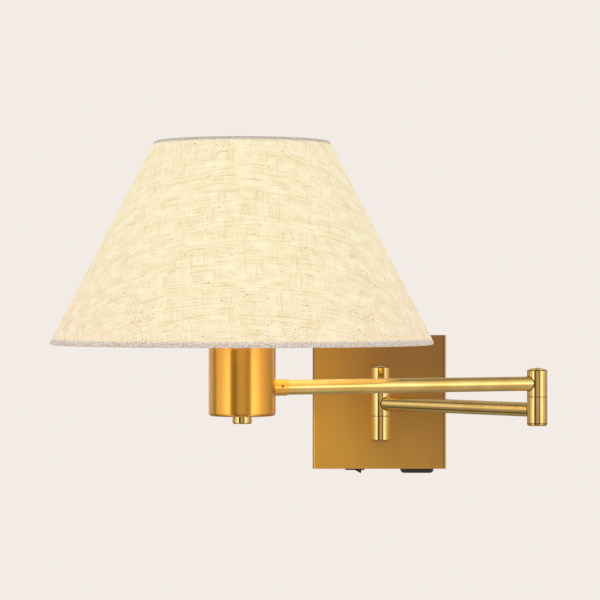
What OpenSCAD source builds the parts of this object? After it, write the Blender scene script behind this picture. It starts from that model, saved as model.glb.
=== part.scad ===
// Swing arm wall sconce: square backplate, two jointed tube arms, cup and cone shade.
// Frame: origin at the centre of the backplate's back, +X right, +Y into the wall, +Z up.

/* [Backplate] */
// Width of the backplate across the wall
plate_w = 120; // [100:1:150]
// Height of the backplate
plate_h = 120; // [100:1:150]
// Depth of the backplate out from the wall
plate_depth = 25; // [22:0.5:34]
// Sheet thickness of the backplate cover
plate_sheet = 1.2; // [0.8:0.1:2]
// Outside radius of the bends down the cover's sides
side_bend_r = 2.4; // [2.1:0.1:4]
// Rounding of the cover's top and bottom edges
end_edge_r = 0.5; // [0.2:0.1:0.7]

/* [Wall bracket] */
// Height of the steel bar that screws to the wall box
bracket_h = 22; // [16:1:26]
// Thickness of the steel bar
bracket_t = 1.6; // [1.2:0.1:2.5]
// Length of the bent end tabs that take the cover screws
tab_len = 14; // [11:0.5:18]
// Distance between the two wall screws
slot_pitch = 85; // [70:0.5:90]
// Width of the slots for the wall screws
slot_w = 5; // [4:0.1:6]
// Sideways travel of a wall screw in its slot
slot_travel = 9; // [4:0.5:12]
// Diameter of the hole that the supply wires come through
supply_hole_d = 18; // [12:1:20]
// Thread diameter of the two cover screws
cover_screw_d = 4; // [3:0.5:4.5]

/* [Hinges] */
// Diameter of the hinge knuckles
knuckle_d = 17; // [15.5:0.25:21]
// Height of a knuckle that an arm is brazed to
knuckle_len = 22; // [18:0.5:28]
// Height of each knuckle fixed to the wall
fixed_len = 21; // [16:0.5:26]
// Height of the end caps
dome_h = 2.3; // [1.5:0.1:3]
// Distance from the backplate's front to the wall hinge axis
standoff = 30; // [24:1:60]
// Outer diameter of the hollow hinge pivots
pivot_d = 9; // [8:0.25:10.5]
// Bore of the hollow hinge pivots
pivot_bore = 6; // [5:0.1:6.2]
// Thickness of the plastic washers between the knuckles
washer_t = 0.4; // [0.3:0.05:0.8]
// Diameter of the posts that hold the wall hinge
post_d = 9; // [8:0.5:12]

/* [Arms] */
// Outer diameter of both arm tubes
arm_d = 12; // [10:0.5:14.5]
// Wall of both arm tubes
arm_wall = 1; // [0.8:0.1:1.5]
// Wall hinge axis to elbow axis
lower_len = 182; // [140:1:260]
// Elbow axis to shade axis
upper_len = 266; // [220:1:340]
// Direction of the lower arm at rest, turned from +X
lower_angle = -46; // [-80:1:-10]
// Direction of the upper arm at rest, turned from +X
upper_angle = -156.4; // [-170:0.1:-100]
// Diameter of the lead's jacket
lead_d = 4.2; // [3.5:0.1:4.4]
// Diameter of the bundled cores inside the pivots
core_d = 3.4; // [2.6:0.1:3.8]

/* [Cup] */
// Outer diameter of the cup
cup_d = 53; // [48:0.5:66]
// Height of the cup
cup_h = 70; // [60:1:90]
// Wall of the cup
cup_wall = 1; // [0.8:0.1:1.6]
// Rounding of the cup's bottom edge
cup_edge_r = 2.3; // [1.8:0.1:6]
// Height of the upper arm's centre above the cup's bottom
cup_drop = 22; // [18:0.5:30]
// Wall of the ferrule around the arm's end
ferrule_wall = 0.6; // [0.5:0.05:2]
// Length of the ferrule from the cup
ferrule_len = 11.4; // [8:0.1:20]
// Diameter of the nut under the cup
finial_d = 15.4; // [13:0.1:22]
// Height of the nut under the cup
finial_h = 6.3; // [5:0.1:12]

/* [Lampholder and bulb] */
// Diameter of the lampholder body
holder_d = 38.6; // [36:0.1:42]
// Diameter of the screw cap on the bulb
bulb_cap_d = 26.4; // [24:0.1:28]
// Diameter of the bulb's globe
bulb_d = 60; // [45:1:80]
// Length of the bulb above its screw cap
bulb_len = 86; // [80:1:120]

/* [Shade] */
// Diameter over the bottom rim
shade_bottom_d = 303; // [240:1:380]
// Diameter over the top rim
shade_top_d = 140; // [110:1:200]
// Height between the centres of the two rims
shade_h = 157.1; // [140:1:220]
// Height of the bottom rim's centre above the cup's bottom
shade_rise = 58.2; // [45:0.5:60]
// Thickness of the rolled rims
rim_d = 3.6; // [3:0.1:6]
// Thickness of the wire in the rims
rim_wire_d = 2.4; // [1.8:0.1:2.6]
// Thickness of the shade's fabric
fabric_t = 0.6; // [0.4:0.1:0.8]
// Thickness of the stiff liner behind the fabric
liner_t = 0.8; // [0.4:0.1:0.8]
// Number of spokes in the spider
spoke_count = 3; // [3:1:6]
// Diameter of a spoke
spoke_d = 2.6; // [2:0.1:3.4]

/* [Switch and charging port] */
// Offset of the switch to the left of the centre
switch_x = -22; // [-30:0.5:-18]
// Length of the switch's lip
switch_lip = 17.2; // [17:0.1:20]
// Angle that the rocker rests at on each side
rocker_tilt = 14; // [8:1:16]
// Offset of the charging port to the right of the centre
usb_x = 34; // [26:0.5:36]
// Width of the charging port's bezel
usb_w = 30; // [29:0.5:34]
// Distance that the bezel stands below the backplate
usb_drop = 4.2; // [3:0.1:5]

/* [Hidden] */
$fn = 96;

// Clearances and small shared values
running_gap = 0.05;   // radial gap of a turning fit
side_play = 0.05;     // end gap of a turning knuckle
loose_gap = 0.2;      // gap round a piece that drops into a cut-out
moving_gap = 0.35;    // gap between pieces that pass each other
through = 1;          // overrun of a cut past the face that it opens
arc_steps = 5;        // straight steps in a rounded edge

// Backplate
cover_back = 0;
cover_front = -plate_depth;
cover_inner_front = cover_front + plate_sheet;
cover_bottom = -plate_h / 2;
cover_inner_bottom = cover_bottom + plate_sheet;
inner_half_w = plate_w / 2 - plate_sheet;
inner_end_edge_r = 0.1;
mid_depth = -plate_depth / 2;

// Cover screws
tab_outer_x = inner_half_w - loose_gap;
cover_screw_y = -tab_len * 0.6;
cover_screw_head_d = cover_screw_d * 1.8;
cover_screw_len = 9;

// Ground screw
ground_x = 22;
ground_head_af = 7;
ground_head_h = 2.8;
ground_screw_d = 4;

// Terminal block
terminal_x = -34;
terminal_z = 36;
terminal_w = 26;
terminal_h = 14;
terminal_depth = 10;
terminal_pitch = 9;
terminal_wire_d = 3.6;
terminal_screw_d = 3;

// Wall hinge
knuckle_r = knuckle_d / 2;
hub_y = cover_front - standoff;
half_knuckle = knuckle_len / 2;
seam = washer_t / 2;
fixed_top = half_knuckle + fixed_len;
post_z = half_knuckle + fixed_len / 2;
post_collar_d = post_d + 5;
post_collar_t = 2.5;
post_stud_d = 8;
post_stud_len = 9;
lead_hole_d = lead_d + 0.4;
post_nut_af = 13;
post_nut_h = 4.5;
post_washer_d = 16;
post_washer_t = 1.2;
cap_plug_len = 3;
washer_d = knuckle_d - 0.6;
cap_d = knuckle_d - 0.8;
cap_edge_r = 1.6;
wall_sweep = 180;
elbow_sweep = 240;
window_margin = 40;
window_h = lead_d + 1;

// Arms
lower_z = 0;
upper_z = knuckle_len;
arm_bore = arm_d - 2 * arm_wall;
elbow_x = lower_len * cos(lower_angle);
elbow_y = hub_y + lower_len * sin(lower_angle);
lead_start = pivot_d / 2 + moving_gap;
grommet_len = 4;
grommet_inset = 3;

// Elbow
elbow_bottom = -half_knuckle;
elbow_seam = half_knuckle;
elbow_top = half_knuckle + knuckle_len;
elbow_nut_af = pivot_d + 2;
elbow_nut_h = 3;
cap_disc_t = 0.8;
elbow_bore_d = elbow_nut_af / cos(30) + 2 * moving_gap;
elbow_bore_depth = elbow_nut_h + 2 * moving_gap + cap_disc_t;

// Cup
cup_x = elbow_x + upper_len * cos(upper_angle);
cup_y = elbow_y + upper_len * sin(upper_angle);
cup_z = upper_z - cup_drop;
cup_r = cup_d / 2;
arm_inside_cup = 2.5;
arm_end = upper_len - cup_r + cup_wall + arm_inside_cup;
ferrule_d = arm_d + 2 * ferrule_wall;
ferrule_screw_d = 2.6;
ferrule_screw_socket = 1.3;
ferrule_screw_turn = 11;
nipple_d = 10;
nipple_bore = 7;
nipple_grip = 4;
locknut_af = 14;
locknut_h = 3;

// Lampholder
holder_base_z = cup_wall + locknut_h + 2.8;
holder_base_d = holder_d - 2.6;
holder_base_wall = 3;
holder_split_z = cup_drop + lead_d / 2 + 2.4;
nipple_top = holder_base_z + holder_base_wall + 3;
holder_flange_z = cup_h + 0.6;
holder_flange_t = 1.4;
holder_flange_d = holder_d + 7;
spider_ring_t = 1.5;
ring_nut_z = holder_flange_z + holder_flange_t + spider_ring_t;
ring_nut_h = 6;
ring_nut_d = holder_d + 11;
holder_top = ring_nut_z + ring_nut_h;
shell_t = 0.5;
shell_gap = 0.25;
shell_r = bulb_cap_d / 2 + shell_gap + shell_t;
bulb_cap_len = 27;
bulb_tip_h = 3;
bulb_cap_top = holder_top + 1;
bulb_cap_z = bulb_cap_top - bulb_cap_len;
bulb_tip_r = 9;
contact_t = 1;
holder_floor = bulb_cap_z - bulb_tip_h - contact_t;
contact_d = 14;

// Bulb
globe_r = bulb_d / 2;
globe_centre_z = bulb_cap_top + bulb_len - globe_r;
housing_top_drop = 16;
housing_top_z = globe_centre_z - housing_top_drop;
housing_top_r = sqrt(globe_r * globe_r - housing_top_drop * housing_top_drop);
globe_wall = 1;
housing_wall = 1.2;

// Shade
rim_r = rim_d / 2;
bottom_rim_r = shade_bottom_d / 2 - rim_r;
top_rim_r = shade_top_d / 2 - rim_r;
bottom_rim_z = shade_rise;
top_rim_z = shade_rise + shade_h;
cone_len = sqrt(shade_h * shade_h + (bottom_rim_r - top_rim_r) * (bottom_rim_r - top_rim_r));
cone_up = [top_rim_r - bottom_rim_r, shade_h] / cone_len;
cone_out = [shade_h, bottom_rim_r - top_rim_r] / cone_len;
liner_in = rim_r - fabric_t - liner_t;
layer_end = sqrt(rim_r * rim_r - liner_in * liner_in);
spoke_start_r = holder_d / 2 + 4;
spoke_start_z = holder_flange_z + holder_flange_t + spoke_d / 2;
spoke_run = bottom_rim_r - spoke_start_r;
spoke_fall = spoke_start_z - bottom_rim_z;
spoke_len = sqrt(spoke_run * spoke_run + spoke_fall * spoke_fall);
spoke_slope = atan(spoke_fall / spoke_run);

// Switch, its rocker turned about an axis along Y
lip_t = 1.5;
lip_y = 14.4;
rocker_half = 6.2;
rocker_y = 8.6;
rocker_mid = 1.1;
rocker_rise = rocker_half * tan(rocker_tilt);
rocker_end = rocker_mid + rocker_rise;
rocker_top = 2;
rocker_sweep_r = sqrt(rocker_half * rocker_half + rocker_end * rocker_end);
rocker_pin_d = 2;
rocker_pin_y = 5.9;
pivot_drop = cover_bottom - lip_t + rocker_mid * cos(rocker_tilt) - 0.1;
housing_half_x = rocker_sweep_r + moving_gap + 0.8;
housing_y = 12.6;
housing_rise = 15;
well_half_y = rocker_y / 2 + moving_gap;
well_rise = rocker_sweep_r + 1;
tab_w = 4.8;
tab_t = 0.8;
tab_rise = 8;
tab_pitch = 5.5;

// Charging port with two sockets
usb_y = 11;
usb_corner = 2;
usb_end_r = 3.4;
usb_flange = 1;
usb_flange_t = 1.5;
usb_socket_w = 13.2;
usb_socket_y = 5.6;
usb_socket_pitch = 14.2;
usb_socket_depth = 12;
usb_shell_t = 0.4;
usb_shell_inset = 0.3;
usb_tongue_w = 11;
usb_tongue_t = 1.8;
usb_tongue_inset = 1.5;
usb_housing_w = 34;
usb_housing_y = 17;
usb_housing_rise = 27;
usb_bottom = cover_bottom - usb_drop;
usb_housing_z = cover_inner_bottom + usb_flange_t;

// ---------------------------------------------------------------- shared shapes

// Points of an arc about (cx, cy), from one angle to another
function arc_points(cx, cy, r, from, to) =
    [for (i = [0 : arc_steps]) let (a = from + (to - from) * i / arc_steps)
        [cx + r * cos(a), cy + r * sin(a)]];

// Outline of a rectangle with four rounded corners
function round_outline(w, h, r) = concat(
    arc_points(w / 2 - r, h / 2 - r, r, 0, 90),
    arc_points(-w / 2 + r, h / 2 - r, r, 90, 180),
    arc_points(-w / 2 + r, -h / 2 + r, r, 180, 270),
    arc_points(w / 2 - r, -h / 2 + r, r, 270, 360));

// A hexagonal prism of the given width across its flats
module hex_prism(af, h) cylinder(h = h, d = af / cos(30), $fn = 6);

// A cylinder along +X
module rod_x(d, len) rotate([0, 90, 0]) cylinder(h = len, d = d);

// A cylinder along +Y
module rod_y(d, len) rotate([-90, 0, 0]) cylinder(h = len, d = d);

// A ring: a short tube standing on z = 0
module ring(outer_d, inner_d, h) {
    difference() {
        cylinder(h = h, d = outer_d);
        translate([0, 0, -through]) cylinder(h = h + 2 * through, d = inner_d);
    }
}

// Cover-shaped box from y = -depth to the given back: its sides are bent round to the front
module bent_box(w, h, depth, back, bend_r, end_r) {
    intersection() {
        rotate([90, 0, 90]) linear_extrude(w, center = true) polygon(concat(
            [[back, -h / 2], [back, h / 2]],
            arc_points(-depth + end_r, h / 2 - end_r, end_r, 90, 180),
            arc_points(-depth + end_r, -h / 2 + end_r, end_r, 180, 270)));
        linear_extrude(h, center = true) polygon(concat(
            [[w / 2, back], [-w / 2, back]],
            arc_points(-w / 2 + bend_r, -depth + bend_r, bend_r, 180, 270),
            arc_points(w / 2 - bend_r, -depth + bend_r, bend_r, 270, 360)));
    }
}

// A domed cap standing on z = 0, with a plug below it
module domed_cap(plug_d, plug_len) {
    cap_r = cap_d / 2;
    dome_r = (cap_r * cap_r + dome_h * dome_h) / (2 * dome_h);
    intersection() {
        translate([0, 0, dome_h - dome_r]) sphere(r = dome_r);
        cylinder(h = dome_h + through, d = knuckle_d);
    }
    translate([0, 0, -plug_len]) cylinder(h = plug_len + dome_h / 2, d = plug_d);
}

// A flat cap with a rounded edge, standing on z = 0, with a plug below it
module flat_cap(plug_d, plug_len) {
    rotate_extrude() polygon(concat(
        [[0, -plug_len], [plug_d / 2, -plug_len], [plug_d / 2, 0], [knuckle_r, 0]],
        arc_points(knuckle_r - cap_edge_r, dome_h - cap_edge_r, cap_edge_r, 0, 90),
        [[0, dome_h]]));
}

// A hollow pivot from z0 to z1, with a window for the cores and a hole for the jacket
module hollow_pivot(z0, z1, window_z, window_centre, window_arc, hole_z, hole_angle) {
    difference() {
        translate([0, 0, z0]) cylinder(h = z1 - z0, d = pivot_d);
        translate([0, 0, z0 - through]) cylinder(h = z1 - z0 + 2 * through, d = pivot_bore);
        translate([0, 0, window_z - window_h / 2]) rotate([0, 0, window_centre - window_arc / 2])
            rotate_extrude(angle = window_arc)
                translate([pivot_bore / 4, 0]) square([pivot_d, window_h]);
        translate([0, 0, hole_z]) rotate([0, 0, hole_angle]) rod_x(lead_hole_d, pivot_d);
    }
}

// Children placed at the cup's bottom, on the shade's axis
module at_cup() translate([cup_x, cup_y, cup_z]) children();

// Children placed at the elbow axis, in the lower or upper arm's direction
module at_elbow(angle) translate([elbow_x, elbow_y, 0]) rotate([0, 0, angle]) children();

// Children placed at the wall hinge axis, in the lower arm's direction
module at_hub(angle) translate([0, hub_y, 0]) rotate([0, 0, angle]) children();

// ---------------------------------------------------------------- backplate

module backplate_cover() {
    color("darkgoldenrod") difference() {
        bent_box(plate_w, plate_h, plate_depth, cover_back, side_bend_r, end_edge_r);
        bent_box(plate_w - 2 * plate_sheet, plate_h - 2 * plate_sheet,
            plate_depth - plate_sheet, through, side_bend_r - plate_sheet, inner_end_edge_r);
        for (side = [-1, 1]) {
            translate([0, cover_front - through, side * post_z])
                rod_y(post_stud_d, plate_sheet + 2 * through);
            cover_screw(side, loose_gap / 2);
        }
        translate([switch_x, mid_depth, cover_bottom])
            cube([2 * housing_half_x + loose_gap, housing_y + loose_gap, 4 * plate_sheet], center = true);
        translate([usb_x, mid_depth, cover_bottom])
            cube([usb_w + loose_gap, usb_y + loose_gap, 4 * plate_sheet], center = true);
    }
}

// One countersunk cover screw, on the left (-1) or the right (1)
module cover_screw(side, gap) {
    translate([side * plate_w / 2, cover_screw_y, 0]) rotate([0, -90 * side, 0]) {
        cylinder(h = plate_sheet, d1 = cover_screw_head_d + 2 * gap, d2 = cover_screw_d + 2 * gap);
        cylinder(h = cover_screw_len, d = cover_screw_d + 2 * gap);
    }
}

module cover_screws() {
    slot_cut = 0.9;
    color("goldenrod") for (side = [-1, 1]) difference() {
        cover_screw(side, 0);
        translate([side * plate_w / 2, cover_screw_y, 0])
            cube([slot_cut, cover_screw_head_d + through, slot_cut], center = true);
    }
}

module mounting_bracket() {
    color("silver") difference() {
        union() {
            translate([-tab_outer_x, -bracket_t, -bracket_h / 2])
                cube([2 * tab_outer_x, bracket_t, bracket_h]);
            for (side = [-1, 1])
                translate([side * (tab_outer_x - bracket_t / 2), -tab_len / 2, 0])
                    cube([bracket_t, tab_len, bracket_h], center = true);
        }
        for (side = [-1, 1]) {
            translate([side * slot_pitch / 2, 0, 0]) wall_slot();
            translate([side * plate_w / 2, cover_screw_y, 0]) rotate([0, -90 * side, 0])
                cylinder(h = cover_screw_len + through, d = cover_screw_d);
        }
        translate([0, -bracket_t - through, 0]) rod_y(supply_hole_d, bracket_t + 2 * through);
        translate([ground_x, -bracket_t - through, 0]) rod_y(ground_screw_d, bracket_t + 2 * through);
    }
}

// Slot for one wall screw, cut through the bar
module wall_slot() {
    for (end = [-1, 1])
        translate([end * slot_travel / 2, -bracket_t - through, 0]) rod_y(slot_w, bracket_t + 2 * through);
    translate([0, -bracket_t / 2, 0]) cube([slot_travel, bracket_t + 2 * through, slot_w], center = true);
}

module ground_screw() {
    color("seagreen") {
        translate([ground_x, -bracket_t, 0]) rotate([90, 0, 0]) hex_prism(ground_head_af, ground_head_h);
        translate([ground_x, -bracket_t - ground_head_h / 2, 0])
            rod_y(ground_screw_d, bracket_t + ground_head_h / 2);
    }
}

module terminal_block() {
    color("ivory") difference() {
        translate([terminal_x - terminal_w / 2, cover_inner_front, terminal_z - terminal_h / 2])
            cube([terminal_w, terminal_depth, terminal_h]);
        for (way = [-0.5, 0.5]) translate([terminal_x + way * terminal_pitch, 0, terminal_z]) {
            translate([0, cover_inner_front + terminal_depth / 2, -terminal_h / 2 - through])
                cylinder(h = terminal_h + 2 * through, d = terminal_wire_d);
            translate([0, cover_inner_front + terminal_depth / 2, 0]) rod_y(terminal_screw_d, terminal_depth);
        }
    }
}

module terminal_screws() {
    screw_len = terminal_depth / 2 - terminal_wire_d / 2 - 0.5;
    color("silver") for (way = [-0.5, 0.5])
        translate([terminal_x + way * terminal_pitch,
            cover_inner_front + terminal_depth / 2 + terminal_wire_d / 2, terminal_z])
            rod_y(terminal_screw_d, screw_len);
}

// ---------------------------------------------------------------- rocker switch

module switch_housing() {
    color("dimgray") translate([switch_x, mid_depth, 0]) difference() {
        union() {
            translate([-switch_lip / 2, -lip_y / 2, cover_bottom - lip_t])
                cube([switch_lip, lip_y, lip_t]);
            translate([-housing_half_x, -housing_y / 2, cover_bottom - lip_t / 2])
                cube([2 * housing_half_x, housing_y, housing_rise + lip_t / 2]);
        }
        translate([-housing_half_x + 0.8, -well_half_y, cover_bottom - lip_t - through])
            cube([2 * housing_half_x - 1.6, 2 * well_half_y, well_rise + lip_t + through]);
        translate([0, -rocker_pin_y - 0.1, pivot_drop])
            rod_y(rocker_pin_d + 2 * running_gap, 2 * rocker_pin_y + 0.2);
    }
}

module switch_terminals() {
    color("silver") for (way = [-1, 0, 1])
        translate([switch_x + way * tab_pitch - tab_t / 2, mid_depth - tab_w / 2, cover_bottom + housing_rise])
            cube([tab_t, tab_w, tab_rise]);
}

module switch_rocker() {
    color("black") translate([switch_x, mid_depth, pivot_drop]) {
        rotate([0, rocker_tilt, 0]) rotate([90, 0, 0]) linear_extrude(rocker_y, center = true)
            polygon([
                [-rocker_half, -rocker_end], [0, -rocker_mid], [rocker_half, -rocker_end],
                [rocker_half, 0], [rocker_half / 2, rocker_top],
                [-rocker_half / 2, rocker_top], [-rocker_half, 0]]);
        translate([0, -rocker_pin_y, 0]) rod_y(rocker_pin_d, 2 * rocker_pin_y);
    }
}

// ---------------------------------------------------------------- charging port

// Children placed at each of the two sockets
module at_usb_sockets() {
    for (way = [-0.5, 0.5]) translate([usb_x + way * usb_socket_pitch, mid_depth, usb_bottom]) children();
}

// The space of one socket, grown all round by a gap
module usb_socket_space(gap, depth) {
    translate([0, 0, depth / 2])
        cube([usb_socket_w + 2 * gap, usb_socket_y + 2 * gap, depth], center = true);
}

module usb_bezel() {
    flange_z = cover_inner_bottom;
    color("dimgray") difference() {
        union() {
            intersection() {
                translate([usb_x, mid_depth, usb_bottom])
                    linear_extrude(flange_z - usb_bottom) polygon(round_outline(usb_w, usb_y, usb_corner));
                translate([usb_x, mid_depth, usb_bottom + usb_w / 2]) rotate([90, 0, 0])
                    linear_extrude(usb_y, center = true)
                        polygon(round_outline(usb_w, usb_w, usb_end_r));
            }
            translate([usb_x - usb_w / 2 - usb_flange, mid_depth - usb_y / 2 - usb_flange, flange_z])
                cube([usb_w + 2 * usb_flange, usb_y + 2 * usb_flange, usb_flange_t]);
        }
        at_usb_sockets() translate([0, 0, -through]) usb_socket_space(0, usb_socket_depth + through);
    }
}

module usb_housing() {
    color("whitesmoke") difference() {
        translate([usb_x - usb_housing_w / 2, mid_depth - usb_housing_y / 2, usb_housing_z])
            cube([usb_housing_w, usb_housing_y, usb_housing_rise]);
        at_usb_sockets() usb_socket_space(0, usb_socket_depth);
    }
}

module usb_shells() {
    color("silver") at_usb_sockets() translate([0, 0, usb_shell_inset]) difference() {
        usb_socket_space(0, usb_socket_depth - usb_shell_inset);
        translate([0, 0, -through])
            usb_socket_space(-usb_shell_t, usb_socket_depth - usb_shell_inset + 2 * through);
    }
}

module usb_tongues() {
    offset_y = usb_socket_y / 2 - usb_shell_t - usb_tongue_t;
    color("black") at_usb_sockets()
        translate([-usb_tongue_w / 2, offset_y - usb_tongue_t / 2, usb_tongue_inset])
            cube([usb_tongue_w, usb_tongue_t, usb_socket_depth - usb_tongue_inset]);
}

// ---------------------------------------------------------------- wall hinge

// One hollow post with a collar and a stud through the cover, above (1) or below (-1)
module hinge_post(side) {
    color("palegoldenrod") translate([0, 0, side * post_z]) difference() {
        union() {
            translate([0, hub_y, 0]) rod_y(post_d, standoff);
            translate([0, cover_front - post_collar_t, 0]) rod_y(post_collar_d, post_collar_t);
            translate([0, cover_front - post_collar_t / 2, 0])
                rod_y(post_stud_d, post_stud_len + post_collar_t / 2);
        }
        translate([0, hub_y, -post_d]) cylinder(h = 2 * post_d, d = knuckle_d);
        translate([0, hub_y - through, 0]) rod_y(lead_hole_d, standoff + post_stud_len + 2 * through);
    }
}

module hinge_post_upper() { hinge_post(1); }

module hinge_post_lower() { hinge_post(-1); }

module post_washers() {
    color("silver") for (side = [-1, 1])
        translate([0, cover_inner_front, side * post_z]) rotate([-90, 0, 0])
            ring(post_washer_d, post_stud_d, post_washer_t);
}

module post_nuts() {
    color("silver") for (side = [-1, 1])
        translate([0, cover_inner_front + post_washer_t, side * post_z]) rotate([-90, 0, 0])
            difference() {
                hex_prism(post_nut_af, post_nut_h);
                translate([0, 0, -through]) cylinder(h = post_nut_h + 2 * through, d = post_stud_d);
            }
}

// One knuckle fixed to the wall, above (1) or below (-1)
module wall_knuckle(side) {
    start = half_knuckle + seam;
    color("khaki") translate([0, hub_y, 0]) difference() {
        translate([0, 0, side > 0 ? start : -fixed_top]) cylinder(h = fixed_top - start, d = knuckle_d);
        translate([0, 0, -fixed_top - through]) cylinder(h = 2 * (fixed_top + through), d = pivot_d);
        translate([0, 0, side * post_z]) rod_y(lead_hole_d, knuckle_d);
    }
}

module wall_knuckle_upper() { wall_knuckle(1); }

module wall_knuckle_lower() { wall_knuckle(-1); }

module wall_cap_upper() {
    color("khaki") translate([0, hub_y, fixed_top]) domed_cap(pivot_bore, cap_plug_len);
}

module wall_cap_lower() {
    color("khaki") translate([0, hub_y, -fixed_top]) mirror([0, 0, 1]) domed_cap(pivot_bore, cap_plug_len);
}

module wall_pivot() {
    color("silver") translate([0, hub_y, 0])
        hollow_pivot(-fixed_top, fixed_top, lower_z, -90, wall_sweep + window_margin, post_z, 90);
}

module wall_washers() {
    color("white") for (side = [-1, 1])
        translate([0, hub_y, side * half_knuckle - seam]) ring(washer_d, pivot_d, washer_t);
}

module wall_lead() {
    inside_cover = 3;
    color("gray") {
        translate([0, hub_y, post_z]) rod_y(lead_d, standoff + plate_sheet + post_stud_len + inside_cover);
        translate([0, hub_y, lower_z]) cylinder(h = post_z - lower_z, d = core_d);
    }
}

// ---------------------------------------------------------------- lower arm

module lower_arm_wall_knuckle() {
    half = half_knuckle - seam - side_play;
    color("khaki") at_hub(lower_angle) difference() {
        translate([0, 0, -half]) cylinder(h = 2 * half, d = knuckle_d);
        translate([0, 0, -half - through])
            cylinder(h = 2 * (half + through), d = pivot_d + 2 * running_gap);
        rod_x(lead_hole_d, knuckle_d);
    }
}

// Straight tube along +X, shaped at each end that meets a knuckle
module arm_tube(len, far_knuckle) {
    difference() {
        rod_x(arm_d, len);
        translate([-through, 0, 0]) rod_x(arm_bore, len + 2 * through);
        translate([0, 0, -arm_d]) cylinder(h = 2 * arm_d, d = knuckle_d);
        if (far_knuckle) translate([len, 0, -arm_d]) cylinder(h = 2 * arm_d, d = knuckle_d);
    }
}

// A grommet that centres the lead in a tube, from the given distance along +X
module grommet(start) {
    translate([start, 0, 0]) difference() {
        rod_x(arm_bore, grommet_len);
        translate([-through, 0, 0]) rod_x(lead_d, grommet_len + 2 * through);
    }
}

module lower_arm_tube() {
    color("palegoldenrod") at_hub(lower_angle) translate([0, 0, lower_z]) arm_tube(lower_len, true);
}

module lower_arm_grommets() {
    color("black") at_hub(lower_angle) translate([0, 0, lower_z]) {
        grommet(knuckle_r + grommet_inset);
        grommet(lower_len - knuckle_r - grommet_inset - grommet_len);
    }
}

module lower_arm_lead() {
    color("gray") at_hub(lower_angle) {
        translate([lead_start, 0, lower_z]) rod_x(lead_d, lower_len - lead_start);
        translate([lower_len, 0, lower_z]) cylinder(h = upper_z - lower_z, d = core_d);
    }
}

// ---------------------------------------------------------------- elbow

module elbow_lower_knuckle() {
    top = elbow_seam - seam;
    color("khaki") at_elbow(lower_angle) difference() {
        translate([0, 0, elbow_bottom]) cylinder(h = top - elbow_bottom, d = knuckle_d);
        translate([0, 0, elbow_bottom - through])
            cylinder(h = top - elbow_bottom + 2 * through, d = pivot_d);
        translate([-knuckle_d, 0, lower_z]) rod_x(lead_hole_d, knuckle_d);
    }
}

module elbow_lower_cap() {
    color("khaki") at_elbow(lower_angle) translate([0, 0, elbow_bottom]) mirror([0, 0, 1])
        flat_cap(pivot_bore, cap_plug_len);
}

module elbow_pivot() {
    top = elbow_top - cap_disc_t - moving_gap;
    color("silver") at_elbow(lower_angle)
        hollow_pivot(elbow_bottom, top, upper_z, 0, elbow_sweep + window_margin, lower_z, 180);
}

module elbow_washer() {
    color("white") at_elbow(lower_angle) translate([0, 0, elbow_seam - seam])
        ring(washer_d, pivot_d, washer_t);
}

module elbow_nut() {
    nut_z = elbow_top - cap_disc_t - moving_gap - elbow_nut_h;
    color("silver") at_elbow(lower_angle) translate([0, 0, nut_z]) difference() {
        hex_prism(elbow_nut_af, elbow_nut_h);
        translate([0, 0, -through]) cylinder(h = elbow_nut_h + 2 * through, d = pivot_d);
    }
}

module elbow_upper_knuckle() {
    bottom = elbow_seam + seam + side_play;
    color("khaki") at_elbow(upper_angle) difference() {
        translate([0, 0, bottom]) cylinder(h = elbow_top - bottom, d = knuckle_d);
        translate([0, 0, bottom - through])
            cylinder(h = elbow_top - bottom + 2 * through, d = pivot_d + 2 * running_gap);
        translate([0, 0, elbow_top - elbow_bore_depth])
            cylinder(h = elbow_bore_depth + through, d = elbow_bore_d);
        translate([0, 0, upper_z]) rod_x(lead_hole_d, knuckle_d);
    }
}

module elbow_upper_cap() {
    color("khaki") at_elbow(upper_angle) translate([0, 0, elbow_top]) domed_cap(elbow_bore_d, cap_disc_t);
}

// ---------------------------------------------------------------- upper arm

module upper_arm_tube() {
    color("palegoldenrod") at_elbow(upper_angle) translate([0, 0, upper_z]) arm_tube(arm_end, false);
}

module upper_arm_grommets() {
    color("black") at_elbow(upper_angle) translate([0, 0, upper_z]) {
        grommet(knuckle_r + grommet_inset);
        grommet(arm_end - grommet_len);
    }
}

module upper_arm_lead() {
    end = upper_len - holder_base_d / 2 + holder_base_wall + 1;
    color("gray") at_elbow(upper_angle) translate([lead_start, 0, upper_z]) rod_x(lead_d, end - lead_start);
}

// Children placed where the ferrule starts on the cup, +X towards the elbow
module at_ferrule() {
    at_cup() translate([0, 0, cup_drop]) rotate([0, 0, upper_angle + 180]) children();
}

module arm_ferrule() {
    color("goldenrod") at_ferrule() difference() {
        rod_x(ferrule_d, cup_r + ferrule_len);
        translate([-through, 0, 0]) rod_x(arm_d, cup_r + ferrule_len + 2 * through);
        translate([0, 0, -cup_r]) cylinder(h = cup_d, d = cup_d);
        ferrule_screw_place() translate([0, 0, -arm_d / 4]) cylinder(h = ferrule_d, d = ferrule_screw_d);
    }
}

// Children placed on the tube's surface under the ferrule screw, +Z outwards
module ferrule_screw_place() {
    translate([cup_r + ferrule_len / 2, 0, 0]) rotate([90 - ferrule_screw_turn, 0, 0])
        translate([0, 0, arm_d / 2]) children();
}

module ferrule_screw() {
    screw_h = ferrule_wall + 0.1;
    color("gray") at_ferrule() ferrule_screw_place() difference() {
        cylinder(h = screw_h, d = ferrule_screw_d);
        translate([0, 0, screw_h / 2]) hex_prism(ferrule_screw_socket, screw_h);
    }
}

// ---------------------------------------------------------------- cup

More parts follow.
